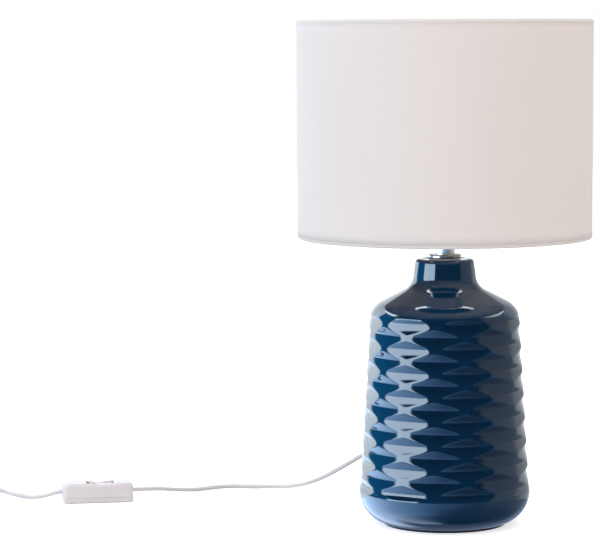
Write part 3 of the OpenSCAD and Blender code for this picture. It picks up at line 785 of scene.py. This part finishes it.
def cloth():
    """White linen-like cloth: uneven horizontal threads over finer upright ones, a little translucent."""
    f = Finish("shade cloth", rgb(236, 236, 240), 0.92, IOR=1.3, Sheen_Weight=0.15, Sheen_Roughness=0.6)
    uv = f.add("UVMap", uv_map="cloth").outputs["UV"]
    split = f.add("SeparateXYZ", uv)
    drift = f.noise(60, 2, (1, 1, 0), at=uv)
    across = f.math("MULTIPLY_ADD", split.outputs["X"], 1 / WARP_GAP, f.math("MULTIPLY", drift, 3.0))
    along = f.math("MULTIPLY_ADD", split.outputs["Y"], 1 / WEFT_GAP, f.math("MULTIPLY", drift, 2.2))
    thread = weave_height(f, across, along)
    slub = f.noise(1, 2, (18, 1400, 1), at=uv)
    upright = f.noise(1, 2, (1500, 22, 1), at=uv)
    height = f.math("ADD", f.math("MULTIPLY", thread, 0.5),
                    f.math("ADD", f.math("MULTIPLY", slub, 1.4), f.math("MULTIPLY", upright, 0.6)))
    f.bump(height, 0.0002, 0.28)
    tone = f.math("ADD", f.math("MULTIPLY", slub, 0.7), f.math("MULTIPLY", upright, 0.3))
    f.set("Base Color", f.ramp(
        tone, (0.3, rgb(249, 248, 249)), (0.5, rgb(251, 250, 251)), (0.72, rgb(253, 252, 253)),
    ))
    f.let_through(0.2, rgb(252, 247, 241))
    return f.material


def lining():
    """The stiff lining: smooth, slightly uneven film that glows when lit from within."""
    f = Finish("shade lining", rgb(244, 243, 238), 0.45, IOR=1.45)
    f.set("Base Color", f.ramp(f.noise(30, 3), (0.3, rgb(240, 238, 232)), (0.7, rgb(248, 247, 243))))
    f.bump(f.noise(900, 3), 0.00005, 0.4)
    f.let_through(0.4, rgb(244, 238, 228))
    return f.material


def plastic(name, dark, light, roughness, grain, grain_height, gloss=0.5):
    """Moulded plastic: a faint mottle in the colour, uneven gloss and a fine moulded grain."""
    f = Finish(name, light, roughness, IOR=1.49, Specular_IOR_Level=gloss)
    f.set("Base Color", f.ramp(f.noise(45, 3), (0.3, dark), (0.7, light)))
    uneven = f.noise(220, 4)
    f.set("Roughness", f.ramp(uneven, (0.3, grey(roughness * 0.8)), (0.7, grey(roughness * 1.25))))
    f.bump(f.noise(grain, 4), grain_height, 0.5)
    return f.material


def metal(name, dark, light, roughness, stretch=(1, 1, 1), scale=900, groove=0.00002):
    """Metal with fine tool marks along one direction."""
    f = Finish(name, light, roughness, Metallic=1.0)
    marks = f.noise(scale, 4, stretch)
    f.set("Base Color", f.ramp(marks, (0.3, dark), (0.7, light)))
    f.set("Roughness", f.ramp(marks, (0.3, grey(roughness * 0.7)), (0.75, grey(roughness * 1.4))))
    f.bump(marks, groove, 0.4)
    return f.material


def felt():
    """Dark grey felt with a visible fuzz."""
    f = Finish("felt", rgb(40, 40, 42), 0.95, Sheen_Weight=0.4)
    fuzz = f.noise(2200, 5)
    f.set("Base Color", f.ramp(fuzz, (0.35, rgb(30, 30, 32)), (0.65, rgb(66, 66, 70))))
    f.bump(fuzz, 0.0004, 0.9)
    return f.material


def opal_glass():
    """Milky glass of the bulb."""
    f = Finish("opal glass", rgb(250, 247, 240), 0.25, IOR=1.5, Subsurface_Weight=0.25,
               Subsurface_Scale=0.004)
    f.set("Base Color", f.ramp(f.noise(60, 2), (0.3, rgb(246, 243, 236)), (0.7, rgb(252, 250, 246))))
    f.set("Roughness", f.ramp(f.noise(300, 3), (0.3, grey(0.18)), (0.7, grey(0.3))))
    f.bump(f.noise(500, 3), 0.00004, 0.3)
    return f.material


def make_materials():
    """Every material by its short name."""
    return {
        "glaze": glaze(),
        "cloth": cloth(),
        "lining": lining(),
        "plastic": plastic(
            "white plastic", rgb(232, 231, 236), rgb(240, 239, 243), 0.4, 1800, 0.00002, gloss=0.04,
        ),
        "lead": plastic(
            "lead sheath", rgb(222, 222, 225), rgb(232, 232, 233), 0.45, 700, 0.00005, gloss=0.03,
        ),
        "soft": plastic(
            "soft white", rgb(232, 231, 230), rgb(240, 239, 238), 0.5, 1500, 0.00004, gloss=0.1,
        ),
        "enamel": plastic("white enamel", rgb(226, 225, 222), rgb(236, 235, 232), 0.35, 900, 0.00008),
        "steatite": plastic("steatite", rgb(222, 219, 208), rgb(234, 231, 222), 0.6, 1300, 0.00012),
        "black": plastic("black glass", rgb(18, 18, 20), rgb(34, 34, 38), 0.15, 400, 0.00005),
        "tie": plastic("tie", rgb(40, 40, 43), rgb(58, 58, 62), 0.55, 1700, 0.00006),
        "zinc": metal("zinc steel", rgb(128, 133, 140), rgb(170, 175, 182), 0.38, scale=350),
        "chrome": metal(
            "chrome", rgb(150, 142, 130), rgb(172, 162, 148), 0.14, (1, 1, 14), 500, 0.000004,
        ),
        "satin": metal(
            "satin chrome", rgb(205, 203, 201), rgb(226, 225, 223), 0.34, (1, 1, 10), 600, 0.000006,
        ),
        "nickel": metal("nickel", rgb(190, 190, 192), rgb(225, 224, 222), 0.16, (1, 1, 6), 900, 0.000008),
        "brass": metal("brass", rgb(176, 138, 66), rgb(214, 178, 96), 0.24, scale=700),
        "copper": metal("copper", rgb(160, 92, 60), rgb(206, 128, 90), 0.3, scale=1600),
        "felt": felt(),
        "opal": opal_glass(),
    }


# The material of each CAD node that keeps its own mesh
NODE_FINISH = {
    "felt": ["foot_pad"],
    "zinc": ["base_plate", "bottom_washer", "bottom_nut", "threaded_rod", "switch_screws", "rocker_pin"],
    "chrome": ["neck_disc"],
    "satin": ["neck_collar"],
    "plastic": ["neck_seal", "holder_cap", "holder_sleeve", "shade_ring_lower", "shade_ring_upper",
                "switch_base"],
    "steatite": ["holder_core"],
    "brass": ["holder_thread", "centre_contact", "terminal_screws", "bulb_contact", "switch_terminals"],
    "enamel": ["shade_carrier", "shade_top_wire"],
    "lining": ["shade_liner"],
    "opal": ["bulb_glass"],
    "nickel": ["bulb_cap", "plug_pins"],
    "black": ["bulb_insulator"],
    "soft": ["lead_gland", "plug_boot", "plug_body", "plug_sleeves"],
    "lead": ["lead_inner"],
    "tie": ["coil_tie"],
    "copper": ["switch_cores"],
}


def paint(thing, material):
    """Gives a piece one material."""
    thing.data.materials.clear()
    thing.data.materials.append(material)


def paint_nodes(materials):
    """Gives the CAD nodes that stay their materials."""
    for finish, names in NODE_FINISH.items():
        for name in names:
            paint(nodes[name], materials[finish])


# ---- Floor and light ----

FLOOR_HALF = 6
FLOOR_BOUNCE = 0.75
FLOOR_LIFT = 0.6


def make_floor():
    """A plain pale table top that takes soft shadows, and is brighter to the eye than to the lamp."""
    corners = [(x * FLOOR_HALF, y * FLOOR_HALF, 0) for x, y in ((-1, -1), (1, -1), (1, 1), (-1, 1))]
    floor = make_object("floor", corners, [(0, 1, 2, 3)])
    f = Finish("pale floor", grey(0.93), 0.9, IOR=1.2)
    pale = f.ramp(f.noise(4, 3), (0.3, grey(0.925)), (0.7, grey(0.94)))
    seen = f.add("LightPath").outputs["Is Camera Ray"]
    f.set("Base Color", f.mixed(seen, grey(FLOOR_BOUNCE), pale))
    f.set("Emission Color", grey(1.0))
    f.set("Emission Strength", f.math("MULTIPLY", seen, FLOOR_LIFT))
    paint(floor, f.material)
    floor.visible_glossy = False


# Studio as glossy surfaces see it, in rings from low to high: where each ring starts in degrees
# of elevation, then its colours by degrees round from the front to the right
DARK = (0.003, 0.004, 0.005)
BLUE = (0.003, 0.048, 0.118)
GREY = (0.045, 0.046, 0.047)
PANEL = (0.60, 0.76, 0.94)
TABLE_FAR = (0.03, 0.04, 0.06)
BAND_LEFT = (0.20, 0.25, 0.34)
BAND_RIGHT = (0.006, 0.007, 0.009)
LEFT_RIM = [(-180, (0.105, 0.116, 0.126)), (-150, (0.145, 0.165, 0.18)), (-124, (0.32, 0.37, 0.40))]
RIGHT_RIM = [
    (66, GREY), (117, GREY), (126, (0.077, 0.081, 0.084)), (150, (0.06, 0.064, 0.067)),
    (179, (0.078, 0.08, 0.083)),
]
TABLE_LEFT = [
    (-116, (0.26, 0.41, 0.64)), (-96, (0.26, 0.40, 0.63)), (-80, (0.19, 0.34, 0.56)),
    (-60, (0.14, 0.27, 0.46)), (-30, (0.08, 0.15, 0.28)), (-10, (0.043, 0.088, 0.18)),
]
FAR_LEFT = [(-180, TABLE_FAR), (-168, TABLE_FAR), (-155, BAND_LEFT)]
FAR_RIGHT = [(150, TABLE_FAR), (179, TABLE_FAR)]
REFLECTED_STRENGTH = 12
REFLECTED = [
    (-90, [
        (-180, TABLE_FAR), (-130, TABLE_FAR), (-108, BAND_LEFT), (-80, (0.15, 0.2, 0.3)),
        (-45, (0.05, 0.075, 0.12)), (-15, (0.013, 0.021, 0.036)), (30, BAND_RIGHT), (110, BAND_RIGHT),
        (142, TABLE_FAR), (179, TABLE_FAR),
    ]),
    (-56, [
        *FAR_LEFT, (-110, (0.25, 0.37, 0.56)), (-60, (0.13, 0.24, 0.41)), (-25, (0.06, 0.115, 0.21)),
        (-5, (0.025, 0.046, 0.085)), (20, (0.01, 0.016, 0.027)), (66, (0.012, 0.016, 0.022)),
        (138, (0.012, 0.016, 0.022)), *FAR_RIGHT,
    ]),
    (-30, [
        *FAR_LEFT, *TABLE_LEFT, (25, (0.022, 0.034, 0.055)), (50, (0.012, 0.017, 0.024)),
        (66, (0.025, 0.027, 0.03)), (138, (0.03, 0.032, 0.035)), *FAR_RIGHT,
    ]),
    (-14, [*LEFT_RIM, *TABLE_LEFT, (30, (0.033, 0.05, 0.078)), (54, (0.02, 0.028, 0.04)), *RIGHT_RIM]),
    (-6, [
        *LEFT_RIM, (-120, BLUE), (-84, BLUE), (-81, PANEL), (-38, PANEL), (-36, DARK), (60, DARK), *RIGHT_RIM,
    ]),
    (19, [*LEFT_RIM, (-120, BLUE), (-84, BLUE), (-82, DARK), (60, DARK), *RIGHT_RIM]),
    (31, [
        (-180, (0.70, 0.76, 0.80)), (-100, (0.84, 0.89, 0.94)), (-90, BLUE), (-84, DARK), (60, DARK),
        (72, GREY), (95, (0.40, 0.40, 0.40)), (179, (0.75, 0.75, 0.77)),
    ]),
    (66, [(-180, DARK), (179, DARK)]),
]
# Rings that start below this elevation fade softly into each other, the others almost at once
SOFT_BELOW = -20
SOFT_FADE = 7
SHARP_FADE = 0.8
# Studio as matt surfaces see it: the sides by degrees round from the front, and grey overhead
LIT_STRENGTH = 1.2
LIT_SIDES = [
    (-180, (0.92, 0.92, 0.95)), (-100, (1.06, 1.10, 1.20)), (-40, (1.02, 1.02, 1.06)),
    (0, (0.93, 0.86, 0.83)), (55, (0.80, 0.61, 0.48)), (110, (0.87, 0.81, 0.76)), (179, (0.92, 0.92, 0.95)),
]
OVERHEAD = 0.54
OVERHEAD_START = 52
OVERHEAD_FADE = 10


def studio():
    """The world's shader: what diffuse surfaces, glossy surfaces and the camera see."""
    world = bpy.data.worlds.new("studio")
    bpy.context.scene.world = world
    world.use_nodes = True
    world.node_tree.nodes.clear()
    n = Nodes(world.node_tree)
    x, y, z = n.add("SeparateXYZ", n.add("TexCoord").outputs["Generated"]).outputs
    turn = n.math("ARCTAN2", x, n.math("MULTIPLY", y, -1.0))
    share = n.math("MULTIPLY_ADD", turn, 1 / (2 * math.pi), 0.5)
    height = n.math("MULTIPLY_ADD", z, 0.5, 0.5)

    def around(stops):
        """Colours by degrees round from the front to the right."""
        return n.ramp(share, *[(degrees / 360 + 0.5, (*colour, 1)) for degrees, colour in stops])

    def rising(degrees, width):
        """Goes from 0 to 1 where directions climb past that elevation."""
        low = math.sin(math.radians(degrees - width)) / 2 + 0.5
        high = math.sin(math.radians(degrees + width)) / 2 + 0.5
        return n.ramp(height, (low, grey(0)), (high, grey(1)))

    glossy = around(REFLECTED[0][1])
    for start, stops in REFLECTED[1:]:
        fade = SOFT_FADE if start < SOFT_BELOW else SHARP_FADE
        glossy = n.mixed(rising(start, fade), glossy, around(stops))
    strong = n.add("Background", glossy, REFLECTED_STRENGTH)
    matt = n.mixed(rising(OVERHEAD_START, OVERHEAD_FADE), around(LIT_SIDES), grey(OVERHEAD))
    soft = n.add("Background", matt, LIT_STRENGTH)
    white = n.add("Background", grey(1.0), 1.0)
    rays = n.add("LightPath").outputs
    first = n.add("MixShader", rays["Is Glossy Ray"], soft.outputs[0], strong.outputs[0])
    seen = n.add("MixShader", rays["Is Camera Ray"], first.outputs[0], white.outputs[0])
    n.feed(n.add("OutputWorld").inputs["Surface"], seen.outputs[0])
    world.cycles.sampling_method = "NONE"


def add_light(name, kind, place, energy):
    """A lamp that lights surfaces but isn't itself mirrored in them."""
    data = bpy.data.lights.new(name, kind)
    data.energy = energy
    light = bpy.data.objects.new(name, data)
    light.location = place
    light.visible_glossy = False
    bpy.context.scene.collection.objects.link(light)
    return light


def make_lights():
    """A soft key from the upper left, and a faint warm glow in the shade."""
    key = add_light("key", "AREA", (-1.6, -1.4, 1.9), 2.5)
    key.data.size = 1.6
    key.rotation_euler = (Vector((0, 0, 0.2)) - key.location).to_track_quat("-Z", "Y").to_euler()
    glow = add_light("glow", "POINT", (0.045, -0.02, 0.34), 0.15)
    glow.data.color = (1.0, 0.86, 0.78)
    glow.data.shadow_soft_size = 0.03


body = make_body()
shade = make_shade()
materials = make_materials()
paint(body, materials["glaze"])
for piece in shade:
    paint(piece, materials["cloth"])
for piece in leads:
    paint(piece, materials["lead"])
for piece in switch:
    paint(piece, materials["plastic"])
paint_nodes(materials)
make_floor()
studio()
make_lights()
bpy.context.scene.view_settings.view_transform = "Standard"
